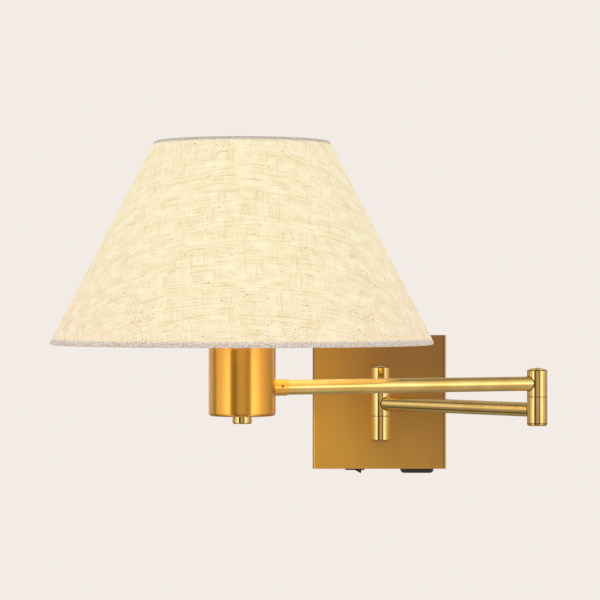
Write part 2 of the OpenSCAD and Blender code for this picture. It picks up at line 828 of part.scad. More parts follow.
module socket_cup() {
    inner_r = cup_r - cup_wall;
    inner_edge = cup_edge_r - cup_wall;
    color("goldenrod") at_cup() difference() {
        rotate_extrude() polygon(concat(
            [[0, 0]],
            arc_points(cup_r - cup_edge_r, cup_edge_r, cup_edge_r, -90, 0),
            [[cup_r, cup_h], [inner_r, cup_h]],
            arc_points(inner_r - inner_edge, cup_wall + inner_edge, inner_edge, 0, -90),
            [[0, cup_wall]]));
        translate([0, 0, -through]) cylinder(h = cup_wall + 2 * through, d = nipple_d);
        translate([0, 0, cup_drop]) rotate([0, 0, upper_angle + 180]) rod_x(arm_d, cup_d);
    }
}

module finial_nut() {
    edge = 1.2;
    color("palegoldenrod") at_cup() translate([0, 0, -finial_h]) difference() {
        rotate_extrude() polygon(concat(
            [[0, 0]], arc_points(finial_d / 2 - edge, edge, edge, -90, 0),
            [[finial_d / 2, finial_h], [0, finial_h]]));
        translate([0, 0, finial_h - nipple_grip]) cylinder(h = nipple_grip + through, d = nipple_d);
    }
}

module cup_nipple() {
    color("silver") at_cup() translate([0, 0, -nipple_grip])
        ring(nipple_d, nipple_bore, nipple_top + nipple_grip);
}

module nipple_locknut() {
    color("silver") at_cup() translate([0, 0, cup_wall]) difference() {
        hex_prism(locknut_af, locknut_h);
        translate([0, 0, -through]) cylinder(h = locknut_h + 2 * through, d = nipple_d);
    }
}

// ---------------------------------------------------------------- lampholder

module lampholder_base() {
    base_h = holder_split_z - holder_base_z;
    color("black") at_cup() difference() {
        translate([0, 0, holder_base_z]) cylinder(h = base_h, d = holder_base_d);
        translate([0, 0, holder_base_z + holder_base_wall])
            cylinder(h = base_h, d = holder_base_d - 2 * holder_base_wall);
        translate([0, 0, holder_base_z - through])
            cylinder(h = holder_base_wall + 2 * through, d = nipple_d);
        translate([0, 0, cup_drop]) rotate([0, 0, upper_angle + 180]) rod_x(lead_d, cup_d);
    }
}

module lampholder_body() {
    color("black") at_cup() difference() {
        union() {
            translate([0, 0, holder_split_z]) cylinder(h = holder_top - holder_split_z, d = holder_d);
            translate([0, 0, holder_flange_z]) cylinder(h = holder_flange_t, d = holder_flange_d);
        }
        translate([0, 0, holder_floor]) cylinder(h = holder_top, d = 2 * shell_r);
    }
}

module lampholder_shell() {
    shell_z = holder_floor + contact_t + bulb_tip_h;
    color("gold") at_cup() translate([0, 0, shell_z])
        ring(2 * shell_r, 2 * (shell_r - shell_t), holder_top - shell_z);
}

module lampholder_contact() {
    color("gold") at_cup() translate([0, 0, holder_floor]) cylinder(h = contact_t, d = contact_d);
}

// ---------------------------------------------------------------- bulb

module bulb_cap() {
    color("silver") at_cup() rotate_extrude() polygon([
        [0, bulb_cap_z - bulb_tip_h], [bulb_tip_r / 2, bulb_cap_z - bulb_tip_h],
        [bulb_tip_r, bulb_cap_z], [bulb_cap_d / 2, bulb_cap_z + bulb_tip_h],
        [bulb_cap_d / 2, bulb_cap_top], [0, bulb_cap_top]]);
}

module bulb_housing() {
    color("white") at_cup() rotate_extrude() polygon([
        [0, bulb_cap_top], [bulb_cap_d / 2, bulb_cap_top], [housing_top_r, housing_top_z],
        [housing_top_r - housing_wall, housing_top_z],
        [bulb_cap_d / 2 - housing_wall, bulb_cap_top + housing_wall], [0, bulb_cap_top + housing_wall]]);
}

module bulb_globe() {
    inner_r = globe_r - globe_wall;
    cut_angle = -asin(housing_top_drop / globe_r);
    inner_cut_angle = -asin(housing_top_drop / inner_r);
    steps = 24;
    color("white") at_cup() translate([0, 0, globe_centre_z]) rotate_extrude() polygon(concat(
        [for (i = [0 : steps]) let (a = cut_angle + (90 - cut_angle) * i / steps)
            globe_r * [cos(a), sin(a)]],
        [for (i = [0 : steps]) let (a = 90 + (inner_cut_angle - 90) * i / steps)
            inner_r * [cos(a), sin(a)]]));
}

// ---------------------------------------------------------------- shade

// A ring of round section about the shade's axis
module rim_ring(r, z, section_r) {
    translate([0, 0, z]) rotate_extrude() translate([r, 0]) circle(r = section_r, $fn = 48);
}

// A point of the cone's section: a distance up the slope from the bottom rim, and one outwards
function cone_point(up, out) = [bottom_rim_r, bottom_rim_z] + up * cone_up + out * cone_out;

// One layer of the cone, from one distance outside the rims' centres to another
module cone_layer(from, to, end) {
    rotate_extrude() polygon([
        cone_point(end, from), cone_point(end, to),
        cone_point(cone_len - end, to), cone_point(cone_len - end, from)]);
}

module shade_liner() {
    color("white") at_cup() cone_layer(liner_in, liner_in + liner_t, layer_end);
}

module shade_fabric() {
    color("cornsilk") at_cup() cone_layer(liner_in + liner_t, rim_r, layer_end);
}

module shade_bottom_rim() {
    color("linen") at_cup() difference() {
        rim_ring(bottom_rim_r, bottom_rim_z, rim_r);
        rim_ring(bottom_rim_r, bottom_rim_z, rim_wire_d / 2);
    }
}

module shade_top_rim() {
    color("linen") at_cup() difference() {
        rim_ring(top_rim_r, top_rim_z, rim_r);
        rim_ring(top_rim_r, top_rim_z, rim_wire_d / 2);
    }
}

module shade_bottom_wire() {
    color("silver") at_cup() rim_ring(bottom_rim_r, bottom_rim_z, rim_wire_d / 2);
}

module shade_top_wire() {
    color("silver") at_cup() rim_ring(top_rim_r, top_rim_z, rim_wire_d / 2);
}

// Seat ring on the lampholder, with spokes down to the bottom rim
module shade_spider() {
    color("silver") at_cup() difference() {
        union() {
            translate([0, 0, ring_nut_z - spider_ring_t])
                ring(ring_nut_d, holder_d + loose_gap, spider_ring_t);
            for (i = [0 : spoke_count - 1]) rotate([0, 0, 90 + 360 * i / spoke_count])
                translate([spoke_start_r, 0, spoke_start_z]) rotate([0, spoke_slope, 0])
                    rod_x(spoke_d, spoke_len);
        }
        translate([0, 0, ring_nut_z]) cylinder(h = ring_nut_h, d = ring_nut_d + loose_gap);
        rim_ring(bottom_rim_r, bottom_rim_z, rim_r);
        cone_layer(liner_in, rim_d, 0);
    }
}

module shade_ring_nut() {
    color("black") at_cup() translate([0, 0, ring_nut_z]) ring(ring_nut_d, holder_d, ring_nut_h);
}

// ---------------------------------------------------------------- nodes

backplate_cover();
mounting_bracket();
cover_screws();
ground_screw();
terminal_block();
terminal_screws();
switch_housing();
switch_terminals();
switch_rocker();
usb_bezel();
usb_housing();
usb_shells();
usb_tongues();
hinge_post_upper();
hinge_post_lower();
post_washers();
post_nuts();
wall_knuckle_upper();
wall_knuckle_lower();
wall_cap_upper();
wall_cap_lower();
wall_pivot();
wall_washers();
wall_lead();
lower_arm_wall_knuckle();
lower_arm_tube();
lower_arm_grommets();
lower_arm_lead();
elbow_lower_knuckle();
elbow_lower_cap();
elbow_pivot();
elbow_washer();
elbow_nut();
elbow_upper_knuckle();
elbow_upper_cap();
upper_arm_tube();
upper_arm_grommets();
upper_arm_lead();
arm_ferrule();
ferrule_screw();
socket_cup();
finial_nut();
cup_nipple();
nipple_locknut();
lampholder_base();
lampholder_body();
lampholder_shell();
lampholder_contact();
bulb_cap();
bulb_housing();
bulb_globe();
shade_ring_nut();
shade_spider();
shade_liner();
shade_fabric();
shade_bottom_rim();
shade_top_rim();
shade_bottom_wire();
shade_top_wire();
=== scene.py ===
"""Looks for the swing arm wall sconce: metal finishes, a linen shade, a studio and a camera."""

from __future__ import annotations

import logging
import math
from dataclasses import dataclass
from enum import Enum
from functools import reduce
from typing import Iterable, Sequence

import bmesh
import bpy
from mathutils import Matrix, Vector


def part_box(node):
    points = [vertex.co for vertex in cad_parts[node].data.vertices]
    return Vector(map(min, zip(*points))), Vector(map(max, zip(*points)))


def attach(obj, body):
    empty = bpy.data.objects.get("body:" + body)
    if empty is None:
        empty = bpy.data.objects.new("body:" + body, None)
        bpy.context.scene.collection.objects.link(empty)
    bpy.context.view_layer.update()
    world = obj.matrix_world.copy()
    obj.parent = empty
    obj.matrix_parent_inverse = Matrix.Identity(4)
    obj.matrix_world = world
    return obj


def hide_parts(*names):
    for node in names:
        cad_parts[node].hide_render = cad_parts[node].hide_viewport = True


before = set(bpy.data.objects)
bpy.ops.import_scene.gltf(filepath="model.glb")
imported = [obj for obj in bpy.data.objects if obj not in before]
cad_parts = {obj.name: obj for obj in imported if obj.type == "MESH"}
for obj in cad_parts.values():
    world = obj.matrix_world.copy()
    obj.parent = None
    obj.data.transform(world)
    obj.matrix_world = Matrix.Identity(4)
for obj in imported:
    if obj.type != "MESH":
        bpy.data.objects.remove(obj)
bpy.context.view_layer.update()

LOG = logging.getLogger("sconce")
MM = 0.001

UPPER_ARM = "upper_arm"

Colour = tuple[float, float, float, float]
Point = tuple[float, float]
Socket = bpy.types.NodeSocket


def tint(red: float, green: float, blue: float) -> Colour:
    """Returns an opaque linear colour."""
    return (red, green, blue, 1.0)


BLACK = tint(0.0, 0.0, 0.0)


class Slot(Enum):
    """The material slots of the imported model."""

    SATIN_BRONZE = "satin_bronze"
    SATIN_GOLD = "satin_gold"
    PALE_BRASS = "pale_brass"
    ZINC_STEEL = "zinc_steel"
    GREEN_ZINC = "green_zinc"
    BLACK_STEEL = "black_steel"
    WHITE_WIRE = "white_wire"
    DARK_PLASTIC = "dark_plastic"
    WHITE_PLASTIC = "white_plastic"
    TINNED_METAL = "tinned_metal"
    CONTACT_BRASS = "contact_brass"
    NYLON = "nylon"
    RUBBER = "rubber"
    LEAD_JACKET = "lead_jacket"
    CERAMIC = "ceramic"
    PHENOLIC = "phenolic"
    OPAL = "opal"
    LINEN = "linen"
    LINER = "liner"


class Seam(Enum):
    """The brass parts with painted shade in their seams and joints."""

    WALL_HINGE = "wall hinge"
    ELBOW = "elbow"
    ARMS = "arm tubes"


# -------------------- shader building


class Value:
    """A number in a shader. Arithmetic on it adds Math nodes."""

    def __init__(self, board: Board, socket: Socket) -> None:
        """Wraps an output socket of a board's node."""
        self.board = board
        self.socket = socket

    def _math(self, operation: str, *numbers: Value | float, clamp: bool = False) -> Value:
        """Adds a Math node.

        Args:
            operation: the Math node's operation.
            numbers: its inputs, in order.
            clamp: whether the result stays from 0 to 1.

        Returns:
            The node's result.
        """
        made = self.board.node(
            "ShaderNodeMath", {"operation": operation, "use_clamp": clamp}, dict(enumerate(numbers))
        )
        return Value(self.board, made.outputs[0])

    def __add__(self, other: Value | float) -> Value:
        """Returns self + other."""
        return self._math("ADD", self, other)

    def __radd__(self, other: float) -> Value:
        """Returns other + self."""
        return self._math("ADD", other, self)

    def __sub__(self, other: Value | float) -> Value:
        """Returns self - other."""
        return self._math("SUBTRACT", self, other)

    def __rsub__(self, other: float) -> Value:
        """Returns other - self."""
        return self._math("SUBTRACT", other, self)

    def __mul__(self, other: Value | float) -> Value:
        """Returns self * other."""
        return self._math("MULTIPLY", self, other)

    def __truediv__(self, other: Value | float) -> Value:
        """Returns self / other."""
        return self._math("DIVIDE", self, other)

    def __pow__(self, other: Value | float) -> Value:
        """Returns self to the power of other."""
        return self._math("POWER", self, other)

    def turn_from(self, other: Value) -> Value:
        """Returns the angle of the arm (other, self) from the first axis, in radians."""
        return self._math("ARCTAN2", self, other)

    def clamped(self) -> Value:
        """Returns self kept from 0 to 1."""
        return self._math("ADD", self, 0.0, clamp=True)

    def sine(self) -> Value:
        """Returns the sine of self."""
        return self._math("SINE", self)

    def distance(self) -> Value:
        """Returns self without its sign."""
        return self._math("ABSOLUTE", self)

    def most(self, other: Value | float) -> Value:
        """Returns the larger of self and other."""
        return self._math("MAXIMUM", self, other)

    def smooth(self, low: float, high: float) -> Value:
        """Maps a range to 0..1 with a smooth step.

        Args:
            low: the value that gives 0.
            high: the value that gives 1. It may be below low.

        Returns:
            The stepped value.
        """
        feeds = {
            "Value": self,
            "From Min": min(low, high),
            "From Max": max(low, high),
            "To Min": float(low > high),
            "To Max": float(low <= high),
        }
        made = self.board.node("ShaderNodeMapRange", {"interpolation_type": "SMOOTHSTEP"}, feeds)
        return Value(self.board, made.outputs["Result"])

    def band(self, start: float, full: float, fade: float, end: float) -> Value:
        """Returns 1 from full to fade and 0 outside start and end."""
        return self.smooth(start, full) * self.smooth(end, fade)


def strongest(marks: Sequence[Value]) -> Value:
    """Returns the largest of some values."""
    return reduce(Value.most, marks)


def oval(across: Value, up: Value, centre: Point, half: Point) -> Value:
    """Returns the squared distance from an oval's centre: 1 at its edge."""
    return ((across - centre[0]) / half[0]) ** 2.0 + ((up - centre[1]) / half[1]) ** 2.0


class Board:
    """A node tree under construction, for a material or the world."""

    def __init__(self, tree: bpy.types.NodeTree) -> None:
        """Clears the tree so that it holds only this board's nodes."""
        self.tree = tree
        self.tree.nodes.clear()

    def node(self, kind: str, settings: dict | None = None, sockets: dict | None = None) -> bpy.types.Node:
        """Adds any node.

        Args:
            kind: the node's type.
            settings: attributes to set first, with "stops" for a ramp's stops.
            sockets: input name or index to a number, tuple, Value or output socket.

        Returns:
            The new node.
        """
        made = self.tree.nodes.new(kind)
        for name, choice in (settings or {}).items():
            if name == "stops":
                self._set_stops(made.color_ramp.elements, choice)
            else:
                setattr(made, name, choice)
        for name, feed in (sockets or {}).items():
            socket = made.inputs[name]
            if isinstance(feed, Value):
                self.tree.links.new(feed.socket, socket)
            elif isinstance(feed, bpy.types.NodeSocket):
                self.tree.links.new(feed, socket)
            else:
                socket.default_value = feed
        return made

    @staticmethod
    def _set_stops(elements: bpy.types.ColorRampElements, stops: Sequence[tuple[float, Colour]]) -> None:
        """Gives a ramp its stops, as (position, colour) pairs."""
        while len(elements) > 1:
            elements.remove(elements[-1])
        elements[0].position, elements[0].color = stops[0]
        for position, colour in stops[1:]:
            elements.new(position).color = colour

    def object_point(self) -> Socket:
        """Returns the object coordinates, in metres."""
        return self.node("ShaderNodeTexCoord").outputs["Object"]

    def cloth_point(self) -> Socket:
        """Returns the UV coordinates, in metres along the cloth."""
        return self.node("ShaderNodeTexCoord").outputs["UV"]

    def placed(self, point: Socket, scale: Sequence[float], shift: Sequence[float] = (0, 0, 0)) -> Socket:
        """Scales and shifts a coordinate.

        Args:
            point: the coordinate socket.
            scale: the factors along X, Y and Z.
            shift: the offset that is added after scaling.

        Returns:
            The mapped coordinate.
        """
        feeds = {"Vector": point, "Scale": tuple(scale), "Location": tuple(shift)}
        return self.node("ShaderNodeMapping", None, feeds).outputs["Vector"]

    def stretched(
        self, cloth: Socket, scale: Point, shift: Point, detail: float, roughness: float = 0.55
    ) -> Value:
        """Adds a Noise texture stretched over the flat cloth.

        Args:
            cloth: the cloth coordinate.
            scale: features per metre along and up the cloth.
            shift: offset of the pattern.
            detail: octaves.
            roughness: weight of the finer octaves.

        Returns:
            The noise, around 0.5.
        """
        return self.noise(self.placed(cloth, (*scale, 1.0), (*shift, 0.0)), 1.0, detail, roughness)

    def axes(self, point: Socket) -> tuple[Value, Value, Value]:
        """Returns the three numbers of a coordinate."""
        parts = self.node("ShaderNodeSeparateXYZ", None, {"Vector": point}).outputs
        return Value(self, parts[0]), Value(self, parts[1]), Value(self, parts[2])

    def noise(self, point: Socket, scale: float, detail: float = 3.0, roughness: float = 0.55) -> Value:
        """Adds a Noise texture.

        Args:
            point: the coordinate socket.
            scale: features per unit.
            detail: octaves.
            roughness: weight of the finer octaves.

        Returns:
            The noise, around 0.5.
        """
        feeds = {"Vector": point, "Scale": scale, "Detail": detail, "Roughness": roughness}
        return Value(self, self.node("ShaderNodeTexNoise", None, feeds).outputs["Fac"])

    def blend(
        self, factor: Value | float, first: Colour | Socket, second: Colour | Socket, how: str = "MIX"
    ) -> Socket:
        """Mixes two colours.

        Args:
            factor: share of the second colour.
            first: the first colour.
            second: the second colour.
            how: the blend type.

        Returns:
            The mixed colour socket.
        """
        settings = {"data_type": "RGBA", "blend_type": how}
        return self.node("ShaderNodeMix", settings, {0: factor, 6: first, 7: second}).outputs[2]

    def bump(self, height: Value, depth: float) -> Socket:
        """Returns a normal from a height and its depth in metres."""
        made = self.node("ShaderNodeBump", None, {"Height": height, "Distance": depth, "Strength": 1.0})
        return made.outputs["Normal"]


# -------------------- finishes


@dataclass(frozen=True)
class Finish:
    """A surface finish. Subclasses give its nodes."""

    name: str

    def make(self) -> bpy.types.Material:
        """Builds the finish as a material."""
        material = bpy.data.materials.new(self.name)
        material.use_nodes = True
        board = Board(material.node_tree)
        surface = board.node("ShaderNodeBsdfPrincipled", None, self.sockets(board))
        board.node("ShaderNodeOutputMaterial", None, {"Surface": surface.outputs[0]})
        return material

    def sockets(self, board: Board) -> dict:
        """Returns what feeds the Principled shader's sockets."""
        raise NotImplementedError


@dataclass(frozen=True)
class SatinPlate(Finish):
    """Satin lacquered sheet, with a fine upright grain, painted light and shade that change slowly across it,
    and painted reflections on its upright edges.
    """

    cover: str = "backplate_cover"
    # deep and light are the shaded and lit ends of the painted light across the cover
    deep: Colour = tint(0.50, 0.250, 0.080)
    light: Colour = tint(0.98, 0.525, 0.092)
    sheen: Colour = tint(0.98, 0.72, 0.36)
    # Colours of the painted reflections on the bent upright edges
    dark_edge_reflection: Colour = tint(0.17, 0.10, 0.035)
    warm_edge_reflection: Colour = tint(0.97, 0.50, 0.06)
    pale_edge_reflection: Colour = tint(0.97, 0.74, 0.40)
    half_width: float = 60.0 * MM
    tilt_across: float = 0.58
    tilt_up: float = 0.44
    cloud_share: float = 0.22
    # Painted shade behind the hinge and towards the top of the cover
    hub_shade: float = 0.14
    hub_shade_half: Point = (28.0 * MM, 75.0 * MM)
    top_shade: float = 0.16
    top_shade_heights: Point = (-45.0 * MM, 55.0 * MM)
    grain: tuple[float, float, float] = (900.0, 900.0, 14.0)
    grain_share: float = 0.16
    metal: float = 0.82
    gloss: float = 0.29
    relief: float = 0.012 * MM
    left_strip: tuple[float, ...] = (0.9 * MM, 1.4 * MM, 2.0 * MM, 2.9 * MM)
    right_line: tuple[float, ...] = (1.2 * MM, 1.5 * MM, 2.4 * MM, 2.8 * MM)

    def sockets(self, board: Board) -> dict:
        """Returns what feeds the Principled shader's sockets."""
        point = board.object_point()
        across, _, up = board.axes(point)
        brushed = board.noise(board.placed(point, self.grain), 1.0, 2.0)
        fine = board.noise(point, 2600.0, 2.0)
        tone = self._tone(board, point, across, up)
        tone = board.blend((brushed - 0.5) * self.grain_share + 0.06, tone, self.sheen, "SOFT_LIGHT")
        return {
            "Base Color": self._edges(board, across, up, tone),
            "Metallic": self.metal,
            "Roughness": brushed * 0.06 + fine * 0.05 + self.gloss,
            "Normal": board.bump(brushed * 0.7 + fine * 0.3, self.relief),
        }

    def _tone(self, board: Board, point: Socket, across: Value, up: Value) -> Socket:
        """Returns the lacquer's colour with painted light and shade: lit at the lower left, shaded behind the
        hinge and at the top, with a random cloud of tone.
        """
        # Painted light: lit towards the lower left, shaded towards the upper right, behind the hinge and at
        # the top
        slope = across * (-self.tilt_across / self.half_width) + up * (-self.tilt_up / self.half_width)
        cloud = board.noise(point, 18.0, 2.0)
        behind_hub = oval(across, up, (0.0, 0.0), self.hub_shade_half).smooth(1.6, 0.0)
        share = slope.smooth(-1.0, 1.0) + (cloud - 0.5) * self.cloud_share - behind_hub * self.hub_shade
        tone = board.blend(share.clamped(), self.deep, self.light)
        return board.blend(up.smooth(*self.top_shade_heights) * self.top_shade, tone, BLACK)

    def _edges(self, board: Board, across: Value, up: Value, tone: Socket) -> Socket:
        """Adds painted reflections along the cover's upright edges.

        Args:
            board: the material's board.
            across: distance to the right of the cover's middle.
            up: height above its middle.
            tone: the lacquer's colour.

        Returns:
            The colour with a painted warm reflection low on the left, painted dark reflection lines, and a
            painted pale reflection on the right.
        """
        low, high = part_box(self.cover)
        from_left, from_right = across - low.x, high.x - across
        # Painted reflections: a warm strip low on the left, dark lines along the edges and a pale strip on
        # the right
        warm = from_left.band(*self.left_strip) * up.smooth(10.0 * MM, -30.0 * MM)
        upper_line = from_left.smooth(2.0 * MM, 1.5 * MM) * up.smooth(-25.0 * MM, 15.0 * MM)
        left_line = from_left.smooth(1.0 * MM, 0.7 * MM)
        lines = strongest((left_line, upper_line * 0.8, from_right.band(*self.right_line)))
        tone = board.blend(warm * 0.5, tone, self.warm_edge_reflection)
        tone = board.blend(lines * 0.85, tone, self.dark_edge_reflection)
        return board.blend(from_right.smooth(1.2 * MM, 0.9 * MM) * 0.9, tone, self.pale_edge_reflection)


@dataclass(frozen=True)
class TurnedGold(Finish):
    """Satin warm gold, spun on a lathe, with fine turning rings, a clear lacquer and painted light that makes
    it lighter towards its bottom.
    """

    deep: Colour = tint(0.90, 0.375, 0.034)
    light: Colour = tint(0.99, 0.49, 0.062)
    rings: tuple[float, float, float] = (30.0, 30.0, 4200.0)
    lit_fade_height: float = 70.0 * MM
    metal: float = 0.9
    gloss: float = 0.20
    lacquer: float = 0.6
    lacquer_gloss: float = 0.09
    relief: float = 0.002 * MM

    def sockets(self, board: Board) -> dict:
        """Returns what feeds the Principled shader's sockets."""
        point = board.object_point()
        _, _, up = board.axes(point)
        turned = board.noise(board.placed(point, self.rings), 1.0, 2.0)
        cloud = board.noise(point, 40.0, 3.0)
        # Painted light: lighter towards the bottom, mixed with a random cloud of tone and the turning rings
        lit_share = up.smooth(self.lit_fade_height, 0.0) * 0.55 + cloud * 0.5 + (turned - 0.5) * 0.15
        return {
            "Base Color": board.blend(lit_share.clamped(), self.deep, self.light),
            "Metallic": self.metal,
            "Roughness": turned * 0.03 + cloud * 0.04 + self.gloss,
            "Coat Weight": self.lacquer,
            "Coat Roughness": self.lacquer_gloss,
            "Normal": board.bump(turned, self.relief),
        }


@dataclass(frozen=True)
class Meeting:
    """A tube that runs into a knuckle, by their nodes."""

    tube: str
    knuckle: str

    def mark(self, board: Board, point: Socket, core: float, reach: float) -> Value:
        """Marks the curve where they meet, where shade is painted.

        Args:
            board: the material's board.
            point: the object coordinate.
            core: distance within which the mark is full.
            reach: distance at which it ends.

        Returns:
            1 on the curve and 0 away from it.
        """
        across, back, up = board.axes(point)
        low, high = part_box(self.knuckle)
        axis, knuckle_radius = (low + high) / 2, (high.x - low.x) / 2
        low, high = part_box(self.tube)
        middle, tube_radius = (low + high) / 2, (high.z - low.z) / 2
        along = Vector((middle.x - axis.x, middle.y - axis.y, 0.0)).normalized()
        off_x, off_y = across - axis.x, back - axis.y
        outward = off_x * along.x + off_y * along.y
        sideways = off_x * along.y - off_y * along.x
        from_tube = (sideways ** 2.0 + (up - middle.z) ** 2.0) ** 0.5 - tube_radius
        from_knuckle = (off_x ** 2.0 + off_y ** 2.0) ** 0.5 - knuckle_radius
        gap = from_tube.distance().most(from_knuckle.distance())
        return gap.smooth(reach, core) * outward.smooth(0.0, 1.0 * MM)


@dataclass(frozen=True)
class PolishedBrass(Finish):
    """Pale brass, polished and lacquered, with faint haze, and painted shade in its seams and where tubes run
    into knuckles.

    Attributes:
        seams: heights of the seams between knuckles and caps.
        meetings: where tubes run into knuckles.
    """

    seams: tuple[float, ...] = ()
    meetings: tuple[Meeting, ...] = ()
    deep: Colour = tint(0.80, 0.53, 0.165)
    light: Colour = tint(0.90, 0.64, 0.245)
    seam_shade_colour: Colour = tint(0.11, 0.075, 0.028)
    haze: float = 0.035
    gloss: float = 0.036
    seam_shade_roughness: float = 0.3
    relief: float = 0.003 * MM
    ragged: float = 0.25 * MM
    seam_core: float = 0.12 * MM
    seam_reach: float = 0.42 * MM
    joint_core: float = 0.2 * MM
    joint_reach: float = 0.75 * MM

    def sockets(self, board: Board) -> dict:
        """Returns what feeds the Principled shader's sockets."""
        point = board.object_point()
        cloud = board.noise(point, 55.0, 4.0)
        smear = board.noise(point, 320.0, 3.0, 0.6)
        fine = board.noise(point, 2400.0, 2.0)
        colour = board.blend(cloud.smooth(0.3, 0.72), self.deep, self.light)
        rough = smear.smooth(0.42, 0.8) * self.haze + fine * 0.02 + self.gloss
        # Painted shade: darker and rougher in the seams and where tubes run into knuckles
        if self.seams or self.meetings:
            seam_shade = self._seam_shade(board, point)
            colour = board.blend(seam_shade, colour, self.seam_shade_colour)
            rough = rough + seam_shade * self.seam_shade_roughness
        return {
            "Base Color": colour,
            "Metallic": 1.0,
            "Roughness": rough,
            "Normal": board.bump(smear * 0.7 + fine * 0.1, self.relief),
        }

    def _seam_shade(self, board: Board, point: Socket) -> Value:
        """Returns the painted shade: 1 in the seams and joints and 0 away from them."""
        _, _, up = board.axes(point)
        ragged_height = up + (board.noise(point, 700.0, 2.0) - 0.5) * self.ragged
        gaps = [(ragged_height - seam).distance() for seam in self.seams]
        marks = [gap.smooth(self.seam_reach, self.seam_core) for gap in gaps]
        marks += [meeting.mark(board, point, self.joint_core, self.joint_reach) for meeting in self.meetings]
        return strongest(marks)


@dataclass(frozen=True)
class PlatedSteel(Finish):
    """Plated steel, with spangle in its tone and a drawn grain."""

    deep: Colour
    light: Colour
    rough: float = 0.28
    relief: float = 0.02 * MM

    def sockets(self, board: Board) -> dict:
        """Returns what feeds the Principled shader's sockets."""
        point = board.object_point()
        spangle = board.noise(point, 260.0, 3.0)
        fine = board.noise(point, 2100.0, 3.0)
        return {
            "Base Color": board.blend(spangle.smooth(0.3, 0.7), self.deep, self.light),
            "Metallic": 1.0,
            "Roughness": (spangle * 0.16 + fine * 0.12 + (self.rough - 0.14)).clamped(),
            "Normal": board.bump(fine * 0.5 + spangle * 0.5, self.relief),
        }


@dataclass(frozen=True)
class Moulded(Finish):
    """Moulded plastic, rubber or glazed ware, with a spark-eroded or orange-peel skin."""

    deep: Colour
    light: Colour
    rough: float = 0.45
    skin: float = 1500.0
    relief: float = 0.03 * MM
    coat: float = 0.0

    def sockets(self, board: Board) -> dict:
        """Returns what feeds the Principled shader's sockets."""
        point = board.object_point()
        cloud = board.noise(point, 120.0, 3.0)
        pitted = board.noise(point, self.skin, 3.0, 0.6)
        share = (cloud * 0.6 + pitted * 0.4).smooth(0.32, 0.68)
        return {
            "Base Color": board.blend(share, self.deep, self.light),
            "Roughness": (pitted * 0.18 + (self.rough - 0.09)).clamped(),
            "Coat Weight": self.coat,
            "Normal": board.bump(pitted, self.relief),
        }


@dataclass(frozen=True)
class OpalGlass(Finish):
    """Opal glass of the lit bulb, brighter round its middle than at its neck."""

    glow: Colour = tint(1.0, 0.86, 0.62)
    neck_glow: Colour = tint(1.0, 0.78, 0.50)
    deep: Colour = tint(0.86, 0.85, 0.82)
    light: Colour = tint(0.93, 0.92, 0.89)
    neck_heights: Point = (118.0 * MM, 140.0 * MM)
    power: float = 10.0

    def sockets(self, board: Board) -> dict:
        """Returns what feeds the Principled shader's sockets."""
        point = board.object_point()
        _, _, up = board.axes(point)
        clouded = board.noise(point, 90.0, 3.0)
        share = (up.smooth(*self.neck_heights) * 0.8 + clouded * 0.3).clamped()
        return {
            "Base Color": board.blend(clouded, self.deep, self.light),
            "Roughness": clouded * 0.1 + 0.22,
            "Emission Color": board.blend(share, self.neck_glow, self.glow),
            "Emission Strength": self.power,
        }


@dataclass(frozen=True)
class Slub:
    """One kind of thick yarn in the linen.

    Attributes:
        scale: yarns per metre along and up the cloth.
        shift: offset of the pattern.
        shows: noise at which a yarn starts to show and shows fully.
        strength: how much it shows.
    """

    scale: Point
    shift: Point
    shows: Point
    strength: float

    def mark(self, board: Board, cloth: Socket) -> Value:
        """Returns its strength on the yarns and 0 off them."""
        return board.stretched(cloth, self.scale, self.shift, 1.5, 0.5).smooth(*self.shows) * self.strength


